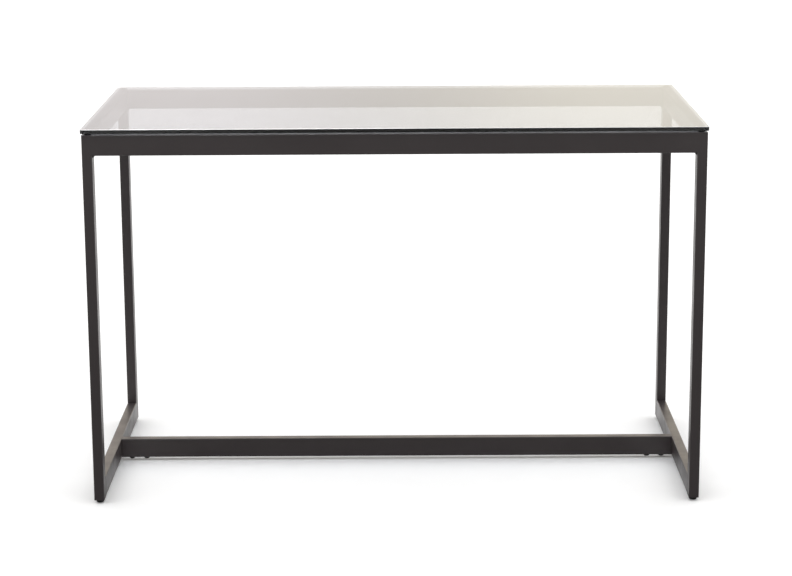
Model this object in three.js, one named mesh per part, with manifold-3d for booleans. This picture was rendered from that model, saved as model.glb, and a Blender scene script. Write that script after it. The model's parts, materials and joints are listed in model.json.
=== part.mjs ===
// Computer desk: a smoked glass top on two welded steel portals, tied by side rails and a low stretcher.
// Millimetres. +X to the right, +Y to the back, +Z up. The origin is on the floor, under the middle.

import * as THREE from 'three';
import { mergeVertices } from 'three/addons/utils/BufferGeometryUtils.js';
import Module from 'manifold-3d';

const wasm = await Module();
wasm.setup();

// ---------------------------------------------------------------- overall sizes
const FRAME_WIDTH = 1200;
const FRAME_DEPTH = 600;
const FRAME_TOP = 739;
const FRAME_BASE = 7;

// ---------------------------------------------------------------- steel tube
const LEG_WIDTH = 20;
const LEG_DEPTH = 30;
const RAIL_HEIGHT = 40;
const RAIL_THICKNESS = 20;
const TUBE_WALL = 1.5;
const TUBE_CORNER = 2;
const TUBE_CORNER_STEPS = 4;
const TUBE_INNER_CORNER = 0.5;
const TUBE_INNER_STEPS = 2;

// ---------------------------------------------------------------- plates in the leg ends
const LEG_TOP_CHAMFER = 1;
const CAP_THICKNESS = 2;
const NUT_PLATE_THICKNESS = 6;
const PLATE_CLEARANCE = 0.1;

// ---------------------------------------------------------------- weld beads
const WELD_SIZE = 4.5;

// ---------------------------------------------------------------- glass top
const GLASS_OVERHANG = 2;
const GLASS_THICKNESS = 8;
const GLASS_CORNER = 4;
const GLASS_CORNER_STEPS = 6;
const GLASS_ARRIS = 0.8;

// ---------------------------------------------------------------- glass pads
const PAD_RADIUS = 7;
const PAD_HEIGHT = 3;
const PAD_EDGE = 0.4;
const PAD_INSET = 12;

// ---------------------------------------------------------------- levelling feet
const GLIDE_RADIUS = 7.5;
const GLIDE_ROUNDING = 2;
const GLIDE_EDGE = 0.6;
const STUD_RADIUS = 3.92;
const STUD_CHAMFER = 0.8;
const STUD_SEAT = 2.5;
const STUD_LENGTH = 30.5;
const STUD_HOLE_RADIUS = 4;

// ---------------------------------------------------------------- tongues that the rails slide over
const TONGUE_WIDTH = 16;
const TONGUE_HEIGHT = 8;
const STRETCHER_TONGUE = { length: 66, screws: [21, 52] };
const SIDE_TONGUE = { length: 50, screws: [26] };

// ---------------------------------------------------------------- M6 pan head screws
const HEAD_RADIUS = 6;
const HEAD_HEIGHT = 4.4;
const HEAD_RIM = 1.4;
const HEAD_FLAT_RADIUS = 3.2;
const SCREW_LENGTH = 12;
const SCREW_RADIUS = 2.9;
const SCREW_CHAMFER = 0.6;
const RECESS_LENGTH = 6;
const RECESS_WIDTH = 1.2;
const RECESS_DEPTH = 2.2;
const TAPPED_HOLE_RADIUS = 3;
const CLEARANCE_HOLE_RADIUS = 3.3;

// ---------------------------------------------------------------- facets and cutting
const ROUND_STEPS = 24;
const ARC_STEPS = 4;
const CUT_MARGIN = 1;

// ---------------------------------------------------------------- derived places
const LEG_LENGTH = FRAME_TOP - FRAME_BASE;
const LEG_X = (FRAME_WIDTH - LEG_WIDTH) / 2;
const PORTAL_Y = (FRAME_DEPTH - LEG_DEPTH) / 2;
const CLEAR_WIDTH = FRAME_WIDTH - 2 * LEG_WIDTH;
const CLEAR_DEPTH = FRAME_DEPTH - 2 * LEG_DEPTH;
const TOP_RAIL_Z = FRAME_TOP - RAIL_HEIGHT / 2;
const LOW_RAIL_Z = FRAME_BASE + RAIL_HEIGHT / 2;
const PORTAL_RAIL_Y = (RAIL_THICKNESS - LEG_DEPTH) / 2;

const SIDES = [
  { name: 'left', x: -1 },
  { name: 'right', x: 1 },
];
const ENDS = [
  { name: 'front', y: -1 },
  { name: 'rear', y: 1 },
];
const LEVELS = [
  { name: 'top', z: TOP_RAIL_Z },
  { name: 'bottom', z: LOW_RAIL_Z },
];

const FINISHES = {
  coat: { color: 0x3a3434, roughness: 0.42, metalness: 0.1 },
  glass: { color: 0x6f7274, roughness: 0.03, metalness: 0, transparent: true, opacity: 0.4 },
  bumper: { color: 0x141414, roughness: 0.7, metalness: 0 },
  glide: { color: 0x17171a, roughness: 0.55, metalness: 0 },
  zinc: { color: 0xb4b6b8, roughness: 0.35, metalness: 1 },
  blackSteel: { color: 0x1d1d1f, roughness: 0.45, metalness: 0.8 },
};

// ---------------------------------------------------------------- solids and meshes

// Keeps only the positions, joins shared corners and leaves out collapsed triangles.
function clean(geometry) {
  geometry.deleteAttribute('normal');
  geometry.deleteAttribute('uv');
  const joined = mergeVertices(geometry, 1e-4);
  const index = joined.getIndex().array;
  const kept = [];
  for (let i = 0; i < index.length; i += 3) {
    const [a, b, c] = [index[i], index[i + 1], index[i + 2]];
    if (a !== b && b !== c && c !== a) {
      kept.push(a, b, c);
    }
  }
  joined.setIndex(kept);
  return joined;
}

function toSolid(geometry) {
  const closed = clean(geometry);
  const vertProperties = new Float32Array(closed.getAttribute('position').array);
  const triVerts = new Uint32Array(closed.getIndex().array);
  return new wasm.Manifold(new wasm.Mesh({ numProp: 3, vertProperties, triVerts }));
}

function toGeometry(solid) {
  const mesh = solid.getMesh();
  const geometry = new THREE.BufferGeometry();
  geometry.setAttribute('position', new THREE.BufferAttribute(new Float32Array(mesh.vertProperties), 3));
  geometry.setIndex(new THREE.BufferAttribute(new Uint32Array(mesh.triVerts), 1));
  geometry.computeVertexNormals();
  return geometry;
}

function piece(name, solid, finish) {
  const mesh = new THREE.Mesh(toGeometry(solid), new THREE.MeshStandardMaterial({ ...FINISHES[finish] }));
  mesh.name = name;
  return mesh;
}

// ---------------------------------------------------------------- basic shapes

// Corner points of a rectangle with rounded corners, anticlockwise, centred on the origin.
function roundedRectangle(width, height, radius, steps) {
  const corners = [
    { x: width / 2 - radius, y: height / 2 - radius, start: 0 },
    { x: radius - width / 2, y: height / 2 - radius, start: Math.PI / 2 },
    { x: radius - width / 2, y: radius - height / 2, start: Math.PI },
    { x: width / 2 - radius, y: radius - height / 2, start: Math.PI * 1.5 },
  ];
  return corners.flatMap((corner) =>
    Array.from({ length: steps + 1 }, (_, i) => {
      const angle = corner.start + (i / steps) * (Math.PI / 2);
      return new THREE.Vector2(corner.x + radius * Math.cos(angle), corner.y + radius * Math.sin(angle));
    }),
  );
}

function tubeShape(width, height, hollow) {
  const shape = new THREE.Shape(roundedRectangle(width, height, TUBE_CORNER, TUBE_CORNER_STEPS));
  if (hollow) {
    const [innerWidth, innerHeight] = [width - 2 * TUBE_WALL, height - 2 * TUBE_WALL];
    const inner = roundedRectangle(innerWidth, innerHeight, TUBE_INNER_CORNER, TUBE_INNER_STEPS);
    shape.holes.push(new THREE.Path(inner));
  }
  return shape;
}

function extrude(shape, length) {
  return new THREE.ExtrudeGeometry(shape, { depth: length, bevelEnabled: false });
}

// A rail lies along +X, centred on the origin, with its short side front to back.
function railGeometry(length) {
  const geometry = extrude(tubeShape(RAIL_THICKNESS, RAIL_HEIGHT, true), length);
  geometry.translate(0, 0, -length / 2);
  const turn = new THREE.Matrix4().makeBasis(
    new THREE.Vector3(0, 1, 0),
    new THREE.Vector3(0, 0, 1),
    new THREE.Vector3(1, 0, 0),
  );
  return geometry.applyMatrix4(turn);
}

// A leg stands on the origin.
function legGeometry(hollow) {
  return extrude(tubeShape(LEG_WIDTH, LEG_DEPTH, hollow), LEG_LENGTH);
}

function block(width, depth, height) {
  return new THREE.BoxGeometry(width, depth, height);
}

function uprightPin(radius, height) {
  return new THREE.CylinderGeometry(radius, radius, height, ROUND_STEPS).rotateX(Math.PI / 2);
}

// A solid of revolution about +Z from pairs of radius and height.
function turned(profile) {
  const points = profile.map(([radius, height]) => new THREE.Vector2(radius, height));
  return new THREE.LatheGeometry(points, ROUND_STEPS).rotateX(Math.PI / 2);
}

// A quarter of an ellipse that bulges outwards and down, from its lowest point to its widest.
function lowerQuarter(centre, base, width, height) {
  return Array.from({ length: ARC_STEPS + 1 }, (_, i) => {
    const angle = (i / ARC_STEPS) * (Math.PI / 2);
    return [centre + width * Math.sin(angle), base + height * (1 - Math.cos(angle))];
  });
}

// ---------------------------------------------------------------- legs

// A leg's outer skin with its top edge eased, longer than the leg at the bottom.
function easedLegSkin() {
  const outline = roundedRectangle(
    LEG_WIDTH - 2 * LEG_TOP_CHAMFER,
    LEG_DEPTH - 2 * LEG_TOP_CHAMFER,
    TUBE_CORNER - LEG_TOP_CHAMFER,
    TUBE_CORNER_STEPS,
  );
  return new THREE.ExtrudeGeometry(new THREE.Shape(outline), {
    depth: LEG_LENGTH - LEG_TOP_CHAMFER,
    bevelThickness: LEG_TOP_CHAMFER,
    bevelSize: LEG_TOP_CHAMFER + PLATE_CLEARANCE,
    bevelSegments: 1,
  });
}

function legSolid() {
  return toSolid(legGeometry(true)).intersect(toSolid(easedLegSkin()));
}

// A flat plate that fits inside the end of a leg, standing on the origin.
function legPlateGeometry(thickness) {
  const inset = 2 * (TUBE_WALL + PLATE_CLEARANCE);
  const [width, depth] = [LEG_WIDTH - inset, LEG_DEPTH - inset];
  const outline = roundedRectangle(width, depth, TUBE_INNER_CORNER, TUBE_INNER_STEPS);
  return extrude(new THREE.Shape(outline), thickness);
}

// ---------------------------------------------------------------- levelling feet
function glideSolid() {
  const profile = [
    [0, 0],
    ...lowerQuarter(GLIDE_RADIUS - GLIDE_ROUNDING, 0, GLIDE_ROUNDING, GLIDE_ROUNDING),
    [GLIDE_RADIUS, FRAME_BASE - GLIDE_EDGE],
    [GLIDE_RADIUS - GLIDE_EDGE, FRAME_BASE],
    [0, FRAME_BASE],
  ];
  const height = FRAME_BASE + CUT_MARGIN - STUD_SEAT;
  const socket = uprightPin(STUD_HOLE_RADIUS, height).translate(0, 0, STUD_SEAT + height / 2);
  return toSolid(turned(profile)).subtract(toSolid(socket));
}

function studSolid() {
  const profile = [
    [0, 0],
    [STUD_RADIUS, 0],
    [STUD_RADIUS, STUD_LENGTH - STUD_CHAMFER],
    [STUD_RADIUS - STUD_CHAMFER, STUD_LENGTH],
    [0, STUD_LENGTH],
  ];
  return toSolid(turned(profile));
}

function nutPlateSolid() {
  const hole = uprightPin(STUD_HOLE_RADIUS, 2 * (NUT_PLATE_THICKNESS + CUT_MARGIN));
  return toSolid(legPlateGeometry(NUT_PLATE_THICKNESS)).subtract(toSolid(hole));
}

// One leg with the plates in its ends, its levelling foot and the pad that carries the glass.
function makeLeg(corner) {
  const leg = new THREE.Group();
  const tube = piece(`${corner}_leg`, legSolid(), 'coat');
  const cap = piece(`${corner}_leg_cap`, toSolid(legPlateGeometry(CAP_THICKNESS)), 'coat');
  const nutPlate = piece(`${corner}_nut_plate`, nutPlateSolid(), 'coat');
  const glide = piece(`${corner}_glide`, glideSolid(), 'glide');
  const stud = piece(`${corner}_stud`, studSolid(), 'zinc');
  tube.position.z = FRAME_BASE;
  cap.position.z = FRAME_TOP - CAP_THICKNESS;
  nutPlate.position.z = FRAME_BASE;
  stud.position.z = STUD_SEAT;
  leg.add(tube, cap, nutPlate, glide, stud);
  return leg;
}

// ---------------------------------------------------------------- portals

// The rail between the two legs. Its ends follow the rounded corners of the legs, so that the welded and
// ground portal has one flat outer face.
function portalRailSolid() {
  const geometry = railGeometry(CLEAR_WIDTH + 2 * TUBE_CORNER);
  geometry.translate(0, PORTAL_RAIL_Y, TOP_RAIL_Z);
  let rail = toSolid(geometry);
  for (const side of SIDES) {
    const leg = legGeometry(false).translate(side.x * LEG_X, 0, FRAME_BASE);
    rail = rail.subtract(toSolid(leg));
  }
  return rail;
}

// A bead in the corner under the rail, against the leg on the given side.
function weldSolid(side) {
  const corner = new THREE.Shape([
    new THREE.Vector2(0, 0),
    new THREE.Vector2(-side.x * WELD_SIZE, 0),
    new THREE.Vector2(0, -WELD_SIZE),
  ]);
  const length = RAIL_THICKNESS - 2 * TUBE_CORNER;
  const geometry = extrude(corner, length).translate(0, 0, -length / 2);
  return toSolid(geometry.rotateX(Math.PI / 2));
}

function padSolid() {
  const profile = [
    [0, 0],
    [PAD_RADIUS - PAD_EDGE, 0],
    [PAD_RADIUS, PAD_EDGE],
    [PAD_RADIUS, PAD_HEIGHT - PAD_EDGE],
    [PAD_RADIUS - PAD_EDGE, PAD_HEIGHT],
    [0, PAD_HEIGHT],
  ];
  return toSolid(turned(profile));
}

// Two legs and the rail between them, with its outer face towards -Y.
function makePortal(end) {
  const portal = new THREE.Group();
  const facing = -end.y;
  for (const side of SIDES) {
    const world = SIDES.find((other) => other.x === side.x * facing);
    const corner = `${end.name}_${world.name}`;
    const leg = makeLeg(corner);
    const weld = piece(`${corner}_weld`, weldSolid(side), 'coat');
    const pad = piece(`${corner}_pad`, padSolid(), 'bumper');
    leg.position.x = side.x * LEG_X;
    weld.position.set((side.x * CLEAR_WIDTH) / 2, PORTAL_RAIL_Y, FRAME_TOP - RAIL_HEIGHT);
    pad.position.set(side.x * (FRAME_WIDTH / 2 - PAD_INSET), PAD_INSET - LEG_DEPTH / 2, FRAME_TOP);
    portal.add(leg, weld, pad);
  }
  portal.add(piece(`${end.name}_rail`, portalRailSolid(), 'coat'));
  portal.position.y = end.y * PORTAL_Y;
  portal.rotation.z = facing > 0 ? 0 : Math.PI;
  return portal;
}

// ---------------------------------------------------------------- tied rails

// Places along a rail of the screws at both of its ends.
function screwPlaces(length, tongue) {
  return SIDES.map((side) => tongue.screws.map((offset) => side.x * (length / 2 - offset)));
}

// A rail with clearance holes through its lower wall for the screws.
function tiedRailSolid(length, tongue) {
  let rail = toSolid(railGeometry(length));
  for (const x of screwPlaces(length, tongue).flat()) {
    const drill = uprightPin(CLEARANCE_HOLE_RADIUS, 2 * (TUBE_WALL + CUT_MARGIN));
    rail = rail.subtract(toSolid(drill.translate(x, 0, -RAIL_HEIGHT / 2)));
  }
  return rail;
}

// A tongue lies inside the end of a rail, on its lower wall, with tapped holes for the screws.
function tongueSolid(length, tongue, side, places) {
  const middle = side.x * (length / 2 - tongue.length / 2);
  let bar = toSolid(block(tongue.length, TONGUE_WIDTH, TONGUE_HEIGHT).translate(middle, 0, 0));
  for (const x of places) {
    const tap = uprightPin(TAPPED_HOLE_RADIUS, TONGUE_HEIGHT + 2 * CUT_MARGIN);
    bar = bar.subtract(toSolid(tap.translate(x, 0, 0)));
  }
  return bar;
}

// Head down, with the seat of the head on the origin.
function screwSolid() {
  const profile = [
    [0, -HEAD_HEIGHT],
    ...lowerQuarter(HEAD_FLAT_RADIUS, -HEAD_HEIGHT, HEAD_RADIUS - HEAD_FLAT_RADIUS, HEAD_HEIGHT - HEAD_RIM),
    [HEAD_RADIUS, 0],
    [SCREW_RADIUS, 0],
    [SCREW_RADIUS, SCREW_LENGTH - SCREW_CHAMFER],
    [SCREW_RADIUS - SCREW_CHAMFER, SCREW_LENGTH],
    [0, SCREW_LENGTH],
  ];
  const recess = [
    block(RECESS_LENGTH, RECESS_WIDTH, 2 * RECESS_DEPTH),
    block(RECESS_WIDTH, RECESS_LENGTH, 2 * RECESS_DEPTH),
  ].map((arm) => toSolid(arm.translate(0, 0, -HEAD_HEIGHT)));
  return toSolid(turned(profile)).subtract(recess[0].add(recess[1]));
}

// A rail along +X with a tongue in each end and its screws from below.
function makeTiedRail(name, length, tongue, endNames) {
  const tied = new THREE.Group();
  const places = screwPlaces(length, tongue);
  tied.add(piece(name, tiedRailSolid(length, tongue), 'coat'));
  SIDES.forEach((side, i) => {
    const label = `${name}_${endNames[i]}`;
    const bar = piece(`${label}_tongue`, tongueSolid(length, tongue, side, places[i]), 'zinc');
    bar.position.z = (TONGUE_HEIGHT - RAIL_HEIGHT) / 2 + TUBE_WALL;
    tied.add(bar);
    places[i].forEach((x, n) => {
      const screw = piece(`${label}_screw_${n + 1}`, screwSolid(), 'blackSteel');
      screw.position.set(x, 0, -RAIL_HEIGHT / 2);
      tied.add(screw);
    });
  });
  return tied;
}

function makeSideRail(side, level) {
  const name = `${side.name}_${level.name}_rail`;
  const rail = makeTiedRail(name, CLEAR_DEPTH, SIDE_TONGUE, ['front', 'rear']);
  rail.position.set(side.x * LEG_X, 0, level.z);
  rail.rotation.z = Math.PI / 2;
  return rail;
}

function makeStretcher() {
  const stretcher = makeTiedRail('stretcher', CLEAR_WIDTH, STRETCHER_TONGUE, ['left', 'right']);
  stretcher.position.z = LOW_RAIL_Z;
  return stretcher;
}

// ---------------------------------------------------------------- glass top
function makeGlassTop() {
  const shrink = 2 * (GLASS_OVERHANG - GLASS_ARRIS);
  const outline = roundedRectangle(
    FRAME_WIDTH + shrink,
    FRAME_DEPTH + shrink,
    GLASS_CORNER - GLASS_ARRIS,
    GLASS_CORNER_STEPS,
  );
  const geometry = new THREE.ExtrudeGeometry(new THREE.Shape(outline), {
    depth: GLASS_THICKNESS - 2 * GLASS_ARRIS,
    bevelThickness: GLASS_ARRIS,
    bevelSize: GLASS_ARRIS,
    bevelSegments: 1,
  });
  const glass = piece('glass_top', toSolid(geometry), 'glass');
  glass.position.z = FRAME_TOP + PAD_HEIGHT + GLASS_ARRIS;
  return glass;
}

// ---------------------------------------------------------------- the desk
const desk = new THREE.Group();
desk.name = 'computer_desk';
for (const end of ENDS) {
  desk.add(makePortal(end));
}
for (const side of SIDES) {
  for (const level of LEVELS) {
    desk.add(makeSideRail(side, level));
  }
}
desk.add(makeStretcher());
desk.add(makeGlassTop());

export default desk;
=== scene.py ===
"""Computer desk: a smoked glass top on a powder-coated steel frame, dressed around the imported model.

The desk stands on the floor plane, with its front towards -Y. Sizes are in metres. Every place comes from
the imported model's boxes, and the classes below hold only the sizes that a box does not give.
"""

import json
import logging
import math
from collections.abc import Callable, Iterable, Sequence
from dataclasses import dataclass, field
from enum import Enum
from functools import cached_property
from typing import Any

import bmesh
import bpy
from mathutils import Matrix, Vector

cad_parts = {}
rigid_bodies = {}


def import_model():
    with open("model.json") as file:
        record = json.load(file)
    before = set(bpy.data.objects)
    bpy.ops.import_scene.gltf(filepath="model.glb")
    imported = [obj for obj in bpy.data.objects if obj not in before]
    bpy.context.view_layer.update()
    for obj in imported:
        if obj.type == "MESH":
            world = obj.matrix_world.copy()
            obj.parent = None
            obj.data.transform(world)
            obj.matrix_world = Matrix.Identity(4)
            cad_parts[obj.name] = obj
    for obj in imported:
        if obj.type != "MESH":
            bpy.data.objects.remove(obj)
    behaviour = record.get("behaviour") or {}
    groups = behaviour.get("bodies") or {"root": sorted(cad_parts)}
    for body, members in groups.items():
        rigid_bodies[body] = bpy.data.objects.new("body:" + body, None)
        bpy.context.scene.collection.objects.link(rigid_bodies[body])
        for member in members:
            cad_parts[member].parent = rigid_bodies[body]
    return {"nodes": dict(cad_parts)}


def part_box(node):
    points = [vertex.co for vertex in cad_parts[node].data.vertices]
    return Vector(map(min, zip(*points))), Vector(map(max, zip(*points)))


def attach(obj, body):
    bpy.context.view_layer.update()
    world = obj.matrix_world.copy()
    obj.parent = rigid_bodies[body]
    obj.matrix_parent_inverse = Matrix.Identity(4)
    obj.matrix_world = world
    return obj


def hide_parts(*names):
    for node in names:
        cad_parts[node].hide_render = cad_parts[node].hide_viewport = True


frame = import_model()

log = logging.getLogger("desk")

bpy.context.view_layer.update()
MM = 0.001
TURN = 2.0 * math.pi
TINY = 1e-6
NOISE_SPREAD = (0.3, 0.7)
ORIGIN = (0.0, 0.0, 0.0)

Colour = tuple[float, float, float]
Span = tuple[float, float]
EdgeTest = Callable[[bmesh.types.BMEdge], bool]


class Side(Enum):
    """The two sides of the desk, with the sign of X on each."""

    LEFT = ("left", -1.0)
    RIGHT = ("right", 1.0)

    def __init__(self, label: str, sign: float) -> None:
        """Keeps the name and the sign."""
        self.label = label
        self.sign = sign


class End(Enum):
    """The two ends of the desk, with the sign of Y at each."""

    FRONT = ("front", -1.0)
    REAR = ("rear", 1.0)

    def __init__(self, label: str, sign: float) -> None:
        """Keeps the name and the sign."""
        self.label = label
        self.sign = sign


class Level(Enum):
    """The two heights at which side rails run."""

    TOP = "top"
    BOTTOM = "bottom"


class Run(Enum):
    """The way a tube runs, as the turn from a tube along +X with its short side front to back."""

    ALONG_X = Matrix.Identity(4)
    ALONG_X_TURNED = Matrix.Rotation(math.pi, 4, "Z")
    ALONG_Y = Matrix.Rotation(math.pi / 2, 4, "Z")
    UPRIGHT = Matrix(((0, 1, 0, 0), (0, 0, 1, 0), (1, 0, 0, 0), (0, 0, 0, 1)))


# ------------------------------------------------------------------------------------------ node graphs


class Field:
    """One output of a node, which can be used in sums, so that a tree reads like a formula."""

    def __init__(self, graph: "Graph", socket: bpy.types.NodeSocket) -> None:
        """Keeps the graph and the socket."""
        self.graph = graph
        self.socket = socket

    def __add__(self, other: Any) -> "Field":
        """The sum."""
        return self.graph.math("ADD", self, other)

    def __radd__(self, other: Any) -> "Field":
        """The sum, from the right."""
        return self.graph.math("ADD", other, self)

    def __sub__(self, other: Any) -> "Field":
        """The difference."""
        return self.graph.math("SUBTRACT", self, other)

    def __rsub__(self, other: Any) -> "Field":
        """The difference, from the right."""
        return self.graph.math("SUBTRACT", other, self)

    def __mul__(self, other: Any) -> "Field":
        """The product."""
        return self.graph.math("MULTIPLY", self, other)

    def __rmul__(self, other: Any) -> "Field":
        """The product, from the right."""
        return self.graph.math("MULTIPLY", other, self)

    def __truediv__(self, other: Any) -> "Field":
        """The quotient."""
        return self.graph.math("DIVIDE", self, other)

    def __gt__(self, other: Any) -> "Field":
        """One where this is greater, and zero elsewhere."""
        return self.graph.math("GREATER_THAN", self, other)

    def __abs__(self) -> "Field":
        """The size without its sign."""
        return self.graph.math("ABSOLUTE", self)


class Graph:
    """A node tree with short ways to add nodes, links and sums."""

    def __init__(self, tree: bpy.types.NodeTree) -> None:
        """Keeps the tree."""
        self.tree = tree

    def join(self, value: Any, socket: bpy.types.NodeSocket) -> None:
        """Links a field to a socket, or sets the socket's own value.

        Args:
            value: A field, an output socket, or a plain value.
            socket: The input that takes it.
        """
        if isinstance(value, Field):
            value = value.socket
        if isinstance(value, bpy.types.NodeSocket):
            self.tree.links.new(value, socket)
        else:
            socket.default_value = value

    def node(self, kind: str, inputs: dict[Any, Any] | None = None, **settings: Any) -> bpy.types.Node:
        """Adds a node.

        Args:
            kind: The node's Blender type.
            inputs: Values or fields, by the input's name or number.
            **settings: The node's own properties.

        Returns:
            The node.
        """
        made = self.tree.nodes.new(kind)
        for key, value in settings.items():
            setattr(made, key, value)
        for key, value in (inputs or {}).items():
            self.join(value, made.inputs[key])
        return made

    def out(self, node: bpy.types.Node, key: Any = 0) -> Field:
        """The field at one of a node's outputs."""
        return Field(self, node.outputs[key])

    def math(self, operation: str, *terms: Any, clamp: bool = False) -> Field:
        """The result of a Math node, kept between zero and one where clamp is true."""
        made = self.node("ShaderNodeMath", dict(enumerate(terms)), operation=operation, use_clamp=clamp)
        return self.out(made)

    def parts(self, vector: Any) -> tuple[Field, Field, Field]:
        """The X, Y and Z of a vector."""
        made = self.node("ShaderNodeSeparateXYZ", {0: vector})
        return self.out(made, 0), self.out(made, 1), self.out(made, 2)

    def vector(self, x: Any, y: Any, z: Any) -> Field:
        """A vector from three numbers or fields."""
        return self.out(self.node("ShaderNodeCombineXYZ", {0: x, 1: y, 2: z}))

    def remap(self, value: Any, low: float, high: float, to_low: float, to_high: float) -> Field:
        """Carries one range smoothly to another, and holds it there outside.

        Args:
            value: The field to carry.
            low: The start of its range.
            high: The end of its range.
            to_low: What the start becomes.
            to_high: What the end becomes.

        Returns:
            The result.
        """
        ends = {"Value": value, 1: low, 2: high, 3: to_low, 4: to_high}
        made = self.node("ShaderNodeMapRange", ends, interpolation_type="SMOOTHSTEP")
        return self.out(made, "Result")

    def seen(self) -> Field:
        """One on rays from the camera and on rays that came through glass, and zero on the others."""
        path = self.node("ShaderNodeLightPath")
        return self.math("MAXIMUM", self.out(path, "Is Camera Ray"), self.out(path, "Is Transmission Ray"))

    def mixed(self, share: Any, first: Any, second: Any) -> Field:
        """The blend of two colours, each a field or three numbers, with the given share of the second."""
        ends = [tone if isinstance(tone, Field) else (*tone, 1.0) for tone in (first, second)]
        return self.out(self.node("ShaderNodeMix", {0: share, 6: ends[0], 7: ends[1]}, data_type="RGBA"), 2)


class ShaderGraph(Graph):
    """The nodes of one material, around a Principled shader."""

    def __init__(self, name: str) -> None:
        """Makes the material.

        Args:
            name: The material's name.
        """
        self.material = bpy.data.materials.new(name)
        self.material.use_nodes = True
        super().__init__(self.material.node_tree)
        self.tree.nodes.clear()
        self.output = self.node("ShaderNodeOutputMaterial")
        self.surface = self.node("ShaderNodeBsdfPrincipled")
        self.join(self.surface.outputs[0], self.output.inputs["Surface"])

    @cached_property
    def place(self) -> Field:
        """The place on the object, in metres."""
        return self.out(self.node("ShaderNodeTexCoord"), "Object")

    def noise(self, scale: float, detail: float = 2.0, vector: Field | None = None) -> Field:
        """Cloudy noise between zero and one, with scale waves in a metre and detail finer layers."""
        inputs = {"Vector": vector or self.place, "Scale": scale, "Detail": detail, "Roughness": 0.55}
        return self.out(self.node("ShaderNodeTexNoise", inputs))

    def streaks(self, scale: Sequence[float], detail: float) -> Field:
        """Noise that has its own number of waves in a metre along each axis."""
        place = self.out(self.node("ShaderNodeMapping", {"Vector": self.place, "Scale": scale}))
        return self.noise(1.0, detail, place)

    def cells(self, scale: float) -> Field:
        """Distance to the nearest of many scattered points, with scale points in a metre."""
        return self.out(self.node("ShaderNodeTexVoronoi", {"Vector": self.place, "Scale": scale}))

    def attribute(self, name: str) -> Field:
        """The piece's own attribute of that name, zero where it has none."""
        return self.out(self.node("ShaderNodeAttribute", attribute_name=name), "Fac")

    def over(self, noise: Field, span: Span) -> Field:
        """Noise carried from its usual spread over another span."""
        return self.remap(noise, *NOISE_SPREAD, *span)

    def patches(self, noise: Any, window: Span, most: float = 1.0) -> Field:
        """Soft patches: zero where noise is below the window, and most where it is above."""
        return self.remap(noise, *window, 0.0, most)

    def relief(self, height: Any, depth: float, strength: float = 1.0, under: Field | None = None) -> Field:
        """A bumped normal.

        Args:
            height: The relief, from zero to one.
            depth: What one is, in metres.
            strength: How much of it is used.
            under: Another relief that this one lies on.

        Returns:
            The normal.
        """
        inputs: dict[Any, Any] = {"Height": height, "Distance": depth, "Strength": strength}
        if under is not None:
            inputs["Normal"] = under
        return self.out(self.node("ShaderNodeBump", inputs))

    def dress(self, **values: Any) -> None:
        """Sets or links inputs of the Principled shader, named with _ for a space."""
        for key, value in values.items():
            self.join(value, self.surface.inputs[key.replace("_", " ")])


# --------------------------------------------------------------------------------------------- finishes


@dataclass(frozen=True)
class Finish:
    """A finish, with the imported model's slot that it belongs to. Its material is made once."""

    slot: str = ""

    def build(self) -> bpy.types.Material:
        """Makes the material. Each finish has its own."""
        raise NotImplementedError

    @cached_property
    def material(self) -> bpy.types.Material:
        """The finish's material."""
        return self.build()


@dataclass(frozen=True)
class PowderCoat(Finish):
    """Satin powder coat in warm anthracite, with a fine orange-peel skin that pulls thin on the edges."""

    slot: str = "frame_coat"
    colour: Colour = (0.0345, 0.0275, 0.0280)
    paler: Colour = (0.0415, 0.0340, 0.0345)
    edge_colour: Colour = (0.050, 0.043, 0.043)
    roughness: Span = (0.33, 0.43)
    peel_scale: float = 420.0
    peel_depth: float = 0.03 * MM
    grain_scale: float = 3200.0
    grain_depth: float = 0.006 * MM
    cloud_scale: float = 5.0
    cloud_window: Span = (0.35, 0.68)
    cloud_share: float = 0.7
    speck_scale: float = 1500.0
    speck_window: Span = (0.52, 0.72)
    speck_share: float = 0.35
    chip_scale: float = 60.0
    chip_low: float = 0.6
    chip_depth: float = 0.8
    wear_window: Span = (0.35, 1.0)
    wear_shine: float = 0.05
    handling_scale: float = 18.0

    def build(self) -> bpy.types.Material:
        """Makes the coat, with its peel, its grain and the slight cloudiness of a sprayed powder.

        Returns:
            The material.
        """
        graph = ShaderGraph("powder_coat")
        clouds = graph.patches(graph.noise(self.cloud_scale, detail=3.0), self.cloud_window)
        powder = graph.noise(self.speck_scale, detail=1.0)
        specks = graph.patches(powder, self.speck_window, self.speck_share)
        body = graph.mixed(clouds * self.cloud_share + specks, self.colour, self.paler)
        chips = self.chip_low + graph.noise(self.chip_scale, detail=4.0) * self.chip_depth
        worn = graph.patches(graph.attribute("edge") * chips, self.wear_window)
        colour = graph.mixed(worn, body, self.edge_colour)
        handled = graph.noise(self.handling_scale, detail=5.0)
        rough = graph.over(handled, self.roughness) - worn * self.wear_shine
        peel = graph.relief(graph.noise(self.peel_scale, detail=1.5), self.peel_depth, strength=0.55)
        grain = graph.noise(self.grain_scale, detail=1.0)
        skin = graph.relief(grain, self.grain_depth, strength=0.5, under=peel)
        graph.dress(Base_Color=colour, Roughness=rough, Normal=skin, IOR=1.5, Specular_IOR_Level=0.5)
        return graph.material


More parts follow.
